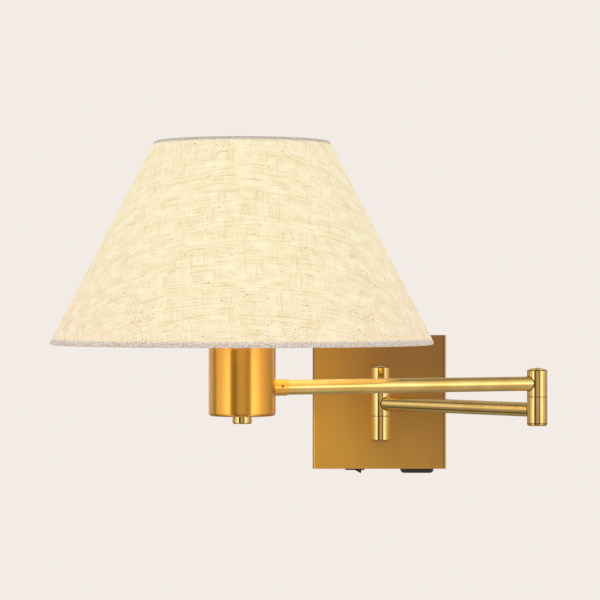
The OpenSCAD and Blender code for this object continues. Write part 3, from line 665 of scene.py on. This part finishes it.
@dataclass(frozen=True)
class Linen(Finish):
    """Slubbed natural linen, lit from behind between its rims. Its UV map is the flat cloth, in metres.

    Attributes:
        bottom: distance from the cone's tip at which the cloth meets the bottom rim.
        top: the same at the top rim.
        cool: glow of the dimmer patches, at the cone's edges and at its middle.
        pale: the same for the brighter patches.
    """

    bottom: float
    top: float
    threads_per_metre: Point = (1350.0, 1250.0)
    slubs: tuple[Slub, ...] = (
        Slub((48.0, 1500.0), (0.0, 0.0), (0.56, 0.70), 1.0),
        Slub((15.0, 1000.0), (7.0, 3.0), (0.59, 0.70), 0.8),
        Slub((1350.0, 58.0), (3.0, 11.0), (0.57, 0.72), 0.8),
        Slub((820.0, 22.0), (17.0, 5.0), (0.61, 0.73), 0.55),
    )
    unlit: Colour = tint(0.66, 0.605, 0.560)
    oatmeal: Colour = tint(0.50, 0.44, 0.40)
    straw: Colour = tint(0.56, 0.42, 0.24)
    husk: Colour = tint(0.20, 0.13, 0.085)
    cool: tuple[Colour, Colour] = (tint(0.440, 0.310, 0.160), tint(0.455, 0.415, 0.150))
    pale: tuple[Colour, Colour] = (tint(0.535, 0.455, 0.265), tint(0.535, 0.520, 0.290))
    loose: Colour = tint(0.370, 0.295, 0.100)
    lit_slub: Colour = tint(0.275, 0.190, 0.035)
    lit_husk: Colour = tint(0.13, 0.07, 0.02)
    leak: Colour = tint(0.24, 0.205, 0.17)
    top_leak: Colour = tint(0.02, 0.015, 0.01)
    glow_centre: Point = (-117.0 * MM, 149.04 * MM)
    glow_half: Point = (160.0 * MM, 121.5 * MM)
    low_heights: Point = (160.0 * MM, 60.0 * MM)
    rim_gap: float = 0.2 * MM
    bottom_fade: float = 3.6 * MM
    top_fade: float = 3.0 * MM
    power: float = 1.0
    relief: float = 0.18 * MM

    def sockets(self, board: Board) -> dict:
        """Returns what feeds the Principled shader's sockets."""
        cloth = board.cloth_point()
        along, rise, _ = board.axes(cloth)
        threads = strongest([slub.mark(board, cloth) for slub in self.slubs]).clamped()
        fleck = self._flecks(board, cloth)
        cells = self._weave(along, rise)
        patch = board.stretched(cloth, (90.0, 120.0), (0.0, 0.0), 4.0, 0.6)
        fine = board.stretched(cloth, (640.0, 760.0), (0.0, 0.0), 2.0, 0.6)
        fibre = (cells * 0.15 + fine * 0.85).clamped()
        ground = board.blend(fibre.smooth(0.36, 0.62), self.oatmeal, self.unlit)
        stranded = board.blend(threads * 0.8, ground, self.straw)
        measured = board.node("ShaderNodeVectorMath", {"operation": "LENGTH"}, {0: cloth})
        reach = Value(board, measured.outputs["Value"])
        inside = reach.smooth(self.bottom - self.rim_gap, self.bottom - self.bottom_fade)
        inside = inside * reach.smooth(self.top + self.rim_gap, self.top + self.top_fade)
        between = (inside + (fine - 0.5) * inside * (1 - inside) * 3.0).clamped()
        rim_glow = board.blend(reach.smooth(self.top, self.bottom), self.top_leak, self.leak)
        peppered = fine.smooth(0.54, 0.36) * 0.85 + fleck + threads * 0.3
        rim_glow = board.blend(peppered.clamped(), rim_glow, BLACK)
        lit = self._glow(board, patch, threads, fleck, fibre)
        return {
            "Base Color": board.blend(fleck * 0.85, stranded, self.husk),
            "Roughness": 0.88 + fine * 0.08,
            "Emission Color": board.blend(between, rim_glow, lit),
            "Emission Strength": self.power,
            "Sheen Weight": 0.15,
            "Normal": board.bump(cells * 0.6 + threads * 0.5 + fine * 0.35, self.relief),
        }

    def _flecks(self, board: Board, cloth: Socket) -> Value:
        """Returns 1 on the small dark husks in the yarn."""
        grains = board.stretched(cloth, (700.0, 780.0), (5.0, 2.0), 1.0, 0.5)
        cluster = board.stretched(cloth, (34.0, 40.0), (2.0, 6.0), 2.0)
        low = board.axes(board.object_point())[2].smooth(*self.low_heights)
        small = (grains + (cluster - 0.5) * 0.42 + low * 0.025).smooth(0.715, 0.755)
        large = board.stretched(cloth, (300.0, 380.0), (1.0, 9.0), 1.0).smooth(0.745, 0.77)
        return (small * 0.75).most(large)

    def _weave(self, along: Value, rise: Value) -> Value:
        """Returns the over-and-under height of a plain weave."""
        warp_count, weft_count = self.threads_per_metre
        warp = (along * (2 * math.pi * warp_count)).sine()
        weft = (rise * (2 * math.pi * weft_count)).sine()
        return warp * weft * 0.5 + 0.5

    def _glow(self, board: Board, patch: Value, threads: Value, fleck: Value, fibre: Value) -> Socket:
        """Returns the colour of the light that comes through the cloth."""
        across, _, up = board.axes(board.object_point())
        near = oval(across, up, self.glow_centre, self.glow_half).smooth(1.5, 0.0)
        cool, pale = board.blend(near, *self.cool), board.blend(near, *self.pale)
        mottled = board.blend(patch.smooth(0.42, 0.62), cool, pale)
        loose = board.blend(fibre.smooth(0.46, 0.62) * 0.85, mottled, self.loose)
        stranded = board.blend(threads * 0.80, loose, self.lit_slub)
        return board.blend(fleck * 0.80, stranded, self.lit_husk)


@dataclass(frozen=True)
class ShadeLiner(Finish):
    """White styrene liner behind the linen, lit by the bulb."""

    deep: Colour = tint(0.82, 0.77, 0.66)
    light: Colour = tint(0.90, 0.86, 0.77)
    dim_glow: Colour = tint(0.62, 0.44, 0.08)
    glow: Colour = tint(0.68, 0.50, 0.11)
    power: float = 0.35
    relief: float = 0.02 * MM

    def sockets(self, board: Board) -> dict:
        """Returns what feeds the Principled shader's sockets."""
        point = board.object_point()
        cloud = board.noise(point, 30.0, 3.0)
        fine = board.noise(point, 1400.0, 2.0)
        return {
            "Base Color": board.blend(cloud, self.deep, self.light),
            "Roughness": fine * 0.2 + 0.45,
            "Emission Color": board.blend(cloud, self.dim_glow, self.glow),
            "Emission Strength": self.power,
            "Normal": board.bump(fine, self.relief),
        }


@dataclass(frozen=True)
class PaleFloor(Finish):
    """Matt pale floor."""

    deep: Colour = tint(0.80, 0.77, 0.74)
    light: Colour = tint(0.84, 0.81, 0.78)

    def sockets(self, board: Board) -> dict:
        """Returns what feeds the Principled shader's sockets."""
        cloud = board.noise(board.object_point(), 6.0, 4.0)
        return {"Base Color": board.blend(cloud, self.deep, self.light), "Roughness": cloud * 0.1 + 0.7}


STEEL_DEEP = tint(0.50, 0.51, 0.54)
STEEL_LIGHT = tint(0.72, 0.73, 0.75)

WALL_SEAMS = (-32.1 * MM, -10.95 * MM, 10.95 * MM, 32.1 * MM)
ELBOW_SEAMS = (-11.1 * MM, 11.05 * MM, 33.0 * MM)
WALL_MEETING = Meeting("lower_arm_tube", "lower_arm_wall_knuckle")
ELBOW_MEETINGS = (
    Meeting("lower_arm_tube", "elbow_lower_knuckle"),
    Meeting("upper_arm_tube", "elbow_upper_knuckle"),
)

FINISHES: dict[Slot | Seam, Finish] = {
    Slot.SATIN_BRONZE: SatinPlate("satin_bronze_lacquer"),
    Slot.SATIN_GOLD: TurnedGold("turned_gold"),
    Slot.PALE_BRASS: PolishedBrass("polished_pale_brass"),
    Seam.WALL_HINGE: PolishedBrass("seamed_wall_hinge_brass", WALL_SEAMS, (WALL_MEETING,)),
    Seam.ELBOW: PolishedBrass("seamed_elbow_brass", ELBOW_SEAMS, ELBOW_MEETINGS),
    Seam.ARMS: PolishedBrass("arm_tube_brass", (), (WALL_MEETING, *ELBOW_MEETINGS)),
    Slot.ZINC_STEEL: PlatedSteel("zinc_plated_steel", STEEL_DEEP, STEEL_LIGHT),
    Slot.GREEN_ZINC: PlatedSteel("green_ground_screw", tint(0.05, 0.24, 0.09), tint(0.09, 0.36, 0.14), 0.34),
    Slot.BLACK_STEEL: PlatedSteel("bronzed_steel", tint(0.36, 0.16, 0.06), tint(0.50, 0.25, 0.10), 0.36),
    Slot.WHITE_WIRE: Moulded(
        "white_enamelled_wire", tint(0.76, 0.74, 0.70), tint(0.84, 0.82, 0.78), 0.35, 900.0
    ),
    Slot.DARK_PLASTIC: Moulded(
        "dark_grey_plastic", tint(0.026, 0.023, 0.024), tint(0.050, 0.045, 0.046), 0.42
    ),
    Slot.WHITE_PLASTIC: Moulded("white_plastic", tint(0.74, 0.73, 0.71), tint(0.82, 0.81, 0.79), 0.42),
    Slot.TINNED_METAL: PlatedSteel("tinned_metal", tint(0.62, 0.62, 0.63), tint(0.80, 0.80, 0.80), 0.24),
    Slot.CONTACT_BRASS: PlatedSteel("contact_brass", tint(0.66, 0.44, 0.15), tint(0.84, 0.60, 0.25), 0.26),
    Slot.NYLON: Moulded("nylon_washer", tint(0.10, 0.075, 0.05), tint(0.15, 0.115, 0.075), 0.4),
    Slot.RUBBER: Moulded("black_rubber", tint(0.018, 0.018, 0.019), tint(0.032, 0.032, 0.033), 0.7),
    Slot.LEAD_JACKET: Moulded("lead_jacket", tint(0.030, 0.029, 0.029), tint(0.052, 0.050, 0.049), 0.5),
    Slot.CERAMIC: Moulded(
        "glazed_ceramic", tint(0.70, 0.68, 0.62), tint(0.80, 0.78, 0.73), 0.3, 500.0, 0.02 * MM, 0.4
    ),
    Slot.PHENOLIC: Moulded(
        "black_phenolic", tint(0.016, 0.014, 0.013), tint(0.030, 0.027, 0.025), 0.34, 1100.0, 0.02 * MM, 0.2
    ),
    Slot.OPAL: OpalGlass("lit_opal_glass"),
    Slot.LINER: ShadeLiner("styrene_liner"),
}


def dress(names: Iterable[str], material: bpy.types.Material) -> None:
    """Gives CAD nodes one material.

    Args:
        names: the nodes.
        material: the finish that they take.
    """
    for name in names:
        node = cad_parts[name]
        if not node.material_slots:
            node.data.materials.append(material)
        for slot in node.material_slots:
            slot.material = material


def add_piece(name: str, mesh: bmesh.types.BMesh, material: bpy.types.Material) -> bpy.types.Object:
    """Turns a bmesh into an object in the scene.

    Args:
        name: the piece's name.
        mesh: its mesh, which is freed.
        material: its finish.

    Returns:
        The object.
    """
    data = bpy.data.meshes.new(name)
    mesh.to_mesh(data)
    mesh.free()
    data.materials.append(material)
    piece = bpy.data.objects.new(name, data)
    bpy.context.scene.collection.objects.link(piece)
    return piece


# -------------------- shade


@dataclass
class LinenShade:
    """The cloth cover of the cone, one sheet from the hem inside the bottom rim to the one in the top rim."""

    top_rim: str = "shade_top_rim"
    bottom_rim: str = "shade_bottom_rim"
    cloth: float = 0.5 * MM
    hem: float = 9.0 * MM
    hem_shares: tuple[float, ...] = (0.25, 0.5, 0.75, 1.0)
    liner_face: float = 0.4 * MM
    round_steps: int = 8
    slant_steps: int = 36
    turns: int = 256

    def __post_init__(self) -> None:
        """Reads the two rims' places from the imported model."""
        low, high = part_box(self.bottom_rim)
        self.axis = Vector(((low.x + high.x) / 2, (low.y + high.y) / 2, 0.0))
        self.rim = (high.z - low.z) / 2
        self.bottom = (((high.x - low.x) / 2 - self.rim), (low.z + high.z) / 2)
        low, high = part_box(self.top_rim)
        self.top = (((high.x - low.x) / 2 - self.rim), (low.z + high.z) / 2)
        run, rise = self.top[0] - self.bottom[0], self.top[1] - self.bottom[1]
        self.slant = math.hypot(run, rise)
        self.up = (run / self.slant, rise / self.slant)
        self.out = (self.up[1], -self.up[0])
        self.opening = -self.up[0]

    def _at(self, start: Point, along: float, off: float) -> Point:
        """Returns the point so far along the slant from start, and so far out from it."""
        return (
            start[0] + self.up[0] * along + self.out[0] * off,
            start[1] + self.up[1] * along + self.out[1] * off,
        )

    def centreline(self) -> list[Point]:
        """Traces the middle of the cloth from the hem in the bottom rim to the hem in the top rim.

        Returns:
            The (radius, height) points.
        """
        wrap = self.rim - self.cloth / 2
        path = [self._hem(self.bottom, 1, share) for share in reversed(self.hem_shares)]
        path += self._roll(self.bottom, math.pi, self.round_steps)
        rises = [self.slant * step / self.slant_steps for step in range(self.slant_steps)]
        path += [self._at(self.bottom, rise, wrap) for rise in rises]
        path += self._roll(self.top, 0.0, self.round_steps + 1)
        path += [self._hem(self.top, -1, share) for share in self.hem_shares]
        return path

    def _hem(self, start: Point, way: int, share: float) -> Point:
        """Returns a point of a hem, which leaves the rim's inner side and eases out against the liner.

        Args:
            start: the rim's centre.
            way: 1 where the hem runs up the slant and -1 where it runs down.
            share: how far along the hem.
        """
        wrap, inner = self.rim - self.cloth / 2, self.liner_face - self.cloth / 2
        eased = min(1.0, share * 2.2) ** 2
        return self._at(start, way * self.hem * share, -wrap + (wrap + inner) * eased)

    def _roll(self, centre: Point, start: float, count: int) -> list[Point]:
        """Returns points round a rim's wire.

        Args:
            centre: the rim's centre.
            start: turn of the first point, from outwards towards up the slant.
            count: how many, each a step of a half turn further on.
        """
        wrap = self.rim - self.cloth / 2
        turns = [start + step * math.pi / self.round_steps for step in range(count)]
        return [self._at(centre, wrap * math.sin(turn), wrap * math.cos(turn)) for turn in turns]

    def flat_size(self, turned_in: float) -> Point:
        """Returns the width and length of the rectangle that the flat cloth, a sector of a ring, is cut from.

        Args:
            turned_in: cloth taken up by each rim and hem.
        """
        outer = self.bottom[0] / self.opening + turned_in
        inner = self.top[0] / self.opening - turned_in
        half_turn = math.pi * self.opening
        return 2 * outer * math.sin(half_turn), outer - inner * math.cos(half_turn)

    def build(self) -> bpy.types.Object:
        """Makes the cover, its UV map in metres and its finish.

        Returns:
            The cover.
        """
        path = self.centreline()
        lengths = [0.0]
        for first, second in zip(path, path[1:]):
            lengths.append(lengths[-1] + math.dist(first, second))
        starts = len(self.hem_shares) + self.round_steps
        hem_in, hem_out = lengths[starts], lengths[starts + self.slant_steps]
        self.tip_to_hem = self.bottom[0] / self.opening + hem_in
        sides = self._sides(path)
        mesh = bmesh.new()
        ring = [mesh.verts.new((self.axis.x, self.axis.y - r, z)) for r, z in sides]
        edges = [mesh.edges.new((ring[i], ring[(i + 1) % len(ring)])) for i in range(len(ring))]
        bmesh.ops.spin(
            mesh,
            geom=[*ring, *edges],
            cent=self.axis,
            axis=(0, 0, 1),
            angle=2 * math.pi,
            steps=self.turns,
            use_merge=True,
        )
        bmesh.ops.recalc_face_normals(mesh, faces=mesh.faces[:])
        self._lay_out(mesh, sides, lengths)
        for face in mesh.faces:
            face.smooth = True
        linen = Linen("slubbed_linen", self.tip_to_hem - hem_in, self.tip_to_hem - hem_out)
        cover = add_piece("linen_cover", mesh, linen.make())
        steps = zip(path, path[1:])
        area = sum(math.pi * (first[0] + second[0]) * math.dist(first, second) for first, second in steps)
        width, length = self.flat_size(hem_in)
        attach(cover, UPPER_ARM)
        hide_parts("shade_fabric", self.bottom_rim, self.top_rim)
        faces = len(cover.data.polygons)
        LOG.info("linen_cover: %d faces, area %.4f m2, slant %.1f mm", faces, area, self.slant / MM)
        return cover

    def _sides(self, path: Sequence[Point]) -> list[Point]:
        """Gives the line its thickness.

        Args:
            path: the middle of the cloth.

        Returns:
            The closed outline: up one side of the cloth and back down the other.
        """
        left, right = [], []
        for i, here in enumerate(path):
            before, after = path[max(0, i - 1)], path[min(len(path) - 1, i + 1)]
            span = math.dist(before, after)
            normal = ((after[1] - before[1]) / span, -(after[0] - before[0]) / span)
            for side, sign in ((left, 1), (right, -1)):
                off = sign * self.cloth / 2
                side.append((here[0] + normal[0] * off, here[1] + normal[1] * off))
        return left + right[::-1]

    def _lay_out(self, mesh: bmesh.types.BMesh, sides: Sequence[Point], lengths: list[float]) -> None:
        """Writes the UV map: each point's place on the flat cloth, in metres from the cone's tip.

        Args:
            mesh: the spun cover.
            sides: its outline.
            lengths: distance along the cloth of each point of one side.
        """
        layer = mesh.loops.layers.uv.new("cloth")
        gone = [*lengths, *lengths[::-1]]
        from_tip = {(round(r, 7), round(z, 7)): self.tip_to_hem - s for (r, z), s in zip(sides, gone)}
        keys = list(from_tip)
        for face in mesh.faces:
            centre = face.calc_center_median() - self.axis
            mid_turn = math.atan2(centre.x, -centre.y)
            for loop in face.loops:
                spot = loop.vert.co - self.axis
                turn = math.atan2(spot.x, -spot.y)
                turn += 2 * math.pi * round((mid_turn - turn) / (2 * math.pi))
                key = (round(math.hypot(spot.x, spot.y), 7), round(spot.z, 7))
                found = from_tip.get(key)
                if found is None:
                    found = from_tip[min(keys, key=lambda k: math.dist(k, key))]
                flat_turn = turn * self.opening
                loop[layer].uv = (found * math.sin(flat_turn), -found * math.cos(flat_turn))


# -------------------- studio and camera


LAMP_TARGET = Vector((-0.05, -0.2, 0.05))


@dataclass(frozen=True)
class Softbox:
    """A square lamp aimed at the sconce.

    Attributes:
        name: the lamp's name.
        place: where it stands.
        size: its side.
        power: its output in watts.
        colour: its tint.
    """

    name: str
    place: tuple[float, float, float]
    size: float
    power: float
    colour: tuple[float, float, float]

    def build(self) -> None:
        """Makes the lamp."""
        data = bpy.data.lights.new(self.name, "AREA")
        data.shape = "SQUARE"
        data.size = self.size
        data.energy = self.power
        data.color = self.colour
        lamp = bpy.data.objects.new(self.name, data)
        bpy.context.scene.collection.objects.link(lamp)
        lamp.location = self.place
        aim = LAMP_TARGET - Vector(self.place)
        lamp.rotation_euler = aim.to_track_quat("-Z", "Y").to_euler()
        lamp.visible_glossy = False


SOFTBOXES = (
    Softbox("key_softbox", (-1.5, -1.9, 1.7), 1.4, 11.0, (1.0, 0.965, 0.93)),
    Softbox("fill_softbox", (1.9, -1.5, 0.7), 1.6, 5.0, (1.0, 0.97, 0.95)),
    Softbox("back_softbox", (0.3, 1.8, 1.6), 1.6, 5.0, (1.0, 0.97, 0.95)),
)


@dataclass
class Studio:
    """A pale floor, soft lamps and the surroundings that the metal reflects."""

    backdrop: Colour = tint(0.893, 0.840, 0.793)
    even: Colour = tint(0.97, 0.96, 0.95)
    even_strength: float = 0.80
    panel_strength: float = 2.3
    floor_centre: tuple[float, float, float] = (0.0, -0.2, -0.34)
    floor_radius: float = 1.05
    floor_sides: int = 96

    def build(self) -> None:
        """Makes the world, the floor and the lamps."""
        self._world()
        self._floor()
        for softbox in SOFTBOXES:
            softbox.build()
        LOG.info("studio: floor radius %.2f m at %.2f m", self.floor_radius, self.floor_centre[2])

    def _world(self) -> None:
        """Makes surroundings that look plain and pale, light evenly, and reflect as bright and dim panels."""
        world = bpy.data.worlds.new("pale_room")
        bpy.context.scene.world = world
        world.use_nodes = True
        board = Board(world.node_tree)
        direction = board.node("ShaderNodeTexCoord").outputs["Generated"]
        east, north, up = board.axes(direction)
        turn = east.turn_from(north * -1.0) / (2 * math.pi) + 0.5
        bands = board.node("ShaderNodeValToRGB", {"stops": self._bands()}, {"Fac": turn})
        lift = up * 0.5 + 0.5
        rows = board.node("ShaderNodeValToRGB", {"stops": self._rows()}, {"Fac": lift})
        panels = board.blend(1.0, bands.outputs["Color"], rows.outputs["Color"], "MULTIPLY")
        rays = board.node("ShaderNodeLightPath").outputs
        plain = board.node("ShaderNodeBackground", None, {"Color": self.backdrop, "Strength": 1.0})
        even = board.node("ShaderNodeBackground", None, {"Color": self.even, "Strength": self.even_strength})
        studio = board.node("ShaderNodeBackground", None, {"Color": panels, "Strength": self.panel_strength})
        lit = self._choose(board, rays["Is Glossy Ray"], even, studio)
        shown = self._choose(board, rays["Is Camera Ray"], lit, plain)
        board.node("ShaderNodeOutputWorld", None, {"Surface": shown.outputs[0]})

    @staticmethod
    def _choose(board: Board, kind: Socket, others: bpy.types.Node, chosen: bpy.types.Node) -> bpy.types.Node:
        """Returns a mix that shows one shader to one kind of ray and another to the others."""
        feeds = {0: kind, 1: others.outputs[0], 2: chosen.outputs[0]}
        return board.node("ShaderNodeMixShader", None, feeds)

    @staticmethod
    def _bands() -> list[tuple[float, Colour]]:
        """Returns the room's brightness by direction, from behind round by the left, front and right."""
        table = (
            (-180, 0.30), (-130, 0.28), (-118, 0.25), (-110, 0.12), (-101, 0.12), (-96, 0.36),
            (-88, 0.40), (-70, 0.46), (-58, 0.66), (-48, 0.88), (-42, 0.86), (-38, 0.07),
            (-20, 0.06), (-13, 0.23), (-6, 0.27), (8, 0.26), (15, 0.17), (28, 0.11), (31, 0.20),
            (35, 0.92), (50, 0.76), (66, 0.45), (92, 0.30), (108, 0.22), (120, 0.16), (130, 0.26),
            (180, 0.30),
        )
        return [
            ((degrees + 180) / 360, tint(v, v * (0.93 + 0.05 * v), v * (0.80 + 0.15 * v)))
            for degrees, v in table
        ]

    @staticmethod
    def _rows() -> list[tuple[float, Colour]]:
        """Returns the room's brightness by height, from straight down to straight up."""
        table = (
            (-1.0, 0.62), (-0.88, 0.70), (-0.62, 0.38), (-0.25, 0.45), (-0.07, 0.80), (0.02, 1.08),
            (0.20, 1.08), (0.38, 0.84), (0.80, 0.64), (1.0, 0.60),
        )
        return [((height + 1) / 2, tint(v, v, v)) for height, v in table]

    def _floor(self) -> None:
        """Makes the round floor."""
        mesh = bmesh.new()
        bmesh.ops.create_circle(
            mesh,
            cap_ends=True,
            segments=self.floor_sides,
            radius=self.floor_radius,
            matrix=Matrix.Translation(self.floor_centre),
        )
        floor = add_piece("floor", mesh, PaleFloor("pale_floor").make())
        floor.visible_glossy = False


@dataclass
class Viewpoint:
    """The camera, level and square to the wall."""

    place: tuple[float, float, float] = (-0.0715, -2.272, 0.0917)
    lens: float = 150.0
    sensor: float = 36.0

    def build(self) -> bpy.types.Object:
        """Makes the camera and the plain colour handling.

        Returns:
            The camera.
        """
        data = bpy.data.cameras.new("view_camera")
        data.lens = self.lens
        data.sensor_width = self.sensor
        data.clip_start = 0.05
        data.clip_end = 50.0
        camera = bpy.data.objects.new("view_camera", data)
        bpy.context.scene.collection.objects.link(camera)
        camera.location = self.place
        camera.rotation_euler = (math.radians(90), 0, 0)
        bpy.context.scene.camera = camera
        bpy.context.scene.view_settings.view_transform = "Standard"
        return camera


# -------------------- sub-assemblies of CAD nodes


@dataclass
class NodeGroup:
    """CAD nodes that keep their shape and take finishes."""

    title: str
    finishes: dict[Slot | Seam, tuple[str, ...]]

    def dress(self, materials: dict[Slot | Seam, bpy.types.Material]) -> None:
        """Gives each node of the group its finish.

        Args:
            materials: the made materials.
        """
        for slot, names in self.finishes.items():
            dress(names, materials[slot])
            LOG.info("%s: %s on %s", self.title, materials[slot].name, ", ".join(names))


GROUPS = (
    NodeGroup(
        "backplate",
        {
            Slot.SATIN_BRONZE: ("backplate_cover",),
            Slot.ZINC_STEEL: ("mounting_bracket", "cover_screws", "terminal_screws"),
            Slot.GREEN_ZINC: ("ground_screw",),
            Slot.CERAMIC: ("terminal_block",),
        },
    ),
    NodeGroup(
        "switch and charging port",
        {
            Slot.DARK_PLASTIC: ("switch_housing", "switch_rocker", "usb_bezel", "usb_tongues"),
            Slot.TINNED_METAL: ("switch_terminals", "usb_shells"),
            Slot.WHITE_PLASTIC: ("usb_housing",),
        },
    ),
    NodeGroup(
        "wall hinge",
        {
            Slot.PALE_BRASS: ("hinge_post_upper", "hinge_post_lower"),
            Seam.WALL_HINGE: ("wall_knuckle_upper", "wall_knuckle_lower", "wall_cap_upper", "wall_cap_lower"),
            Slot.ZINC_STEEL: ("post_washers", "post_nuts", "wall_pivot"),
            Slot.NYLON: ("wall_washers",),
            Slot.LEAD_JACKET: ("wall_lead",),
        },
    ),
    NodeGroup(
        "lower arm",
        {
            Seam.ARMS: ("lower_arm_tube",),
            Seam.WALL_HINGE: ("lower_arm_wall_knuckle",),
            Seam.ELBOW: ("elbow_lower_knuckle", "elbow_lower_cap"),
            Slot.RUBBER: ("lower_arm_grommets",),
            Slot.LEAD_JACKET: ("lower_arm_lead",),
            Slot.ZINC_STEEL: ("elbow_pivot", "elbow_nut"),
            Slot.NYLON: ("elbow_washer",),
        },
    ),
    NodeGroup(
        "upper arm",
        {
            Seam.ARMS: ("upper_arm_tube",),
            Slot.PALE_BRASS: ("finial_nut",),
            Seam.ELBOW: ("elbow_upper_knuckle", "elbow_upper_cap"),
            Slot.SATIN_GOLD: ("arm_ferrule", "socket_cup"),
            Slot.BLACK_STEEL: ("ferrule_screw",),
            Slot.RUBBER: ("upper_arm_grommets",),
            Slot.LEAD_JACKET: ("upper_arm_lead",),
            Slot.ZINC_STEEL: ("cup_nipple", "nipple_locknut"),
        },
    ),
    NodeGroup(
        "lampholder, bulb and shade frame",
        {
            Slot.PHENOLIC: ("lampholder_base", "lampholder_body", "shade_ring_nut"),
            Slot.CONTACT_BRASS: ("lampholder_shell", "lampholder_contact"),
            Slot.TINNED_METAL: ("bulb_cap",),
            Slot.WHITE_PLASTIC: ("bulb_housing",),
            Slot.OPAL: ("bulb_globe",),
            Slot.WHITE_WIRE: ("shade_spider", "shade_bottom_wire", "shade_top_wire"),
            Slot.LINER: ("shade_liner",),
        },
    ),
)


def main() -> None:
    """Builds the camera, the pieces, their finishes and the studio, in that order."""
    logging.basicConfig(level=logging.INFO, format="%(name)s: %(message)s")
    Viewpoint().build()
    materials = {slot: finish.make() for slot, finish in FINISHES.items()}
    for group in GROUPS:
        group.dress(materials)
    LinenShade().build()
    Studio().build()


if __name__ == "__main__":
    main()
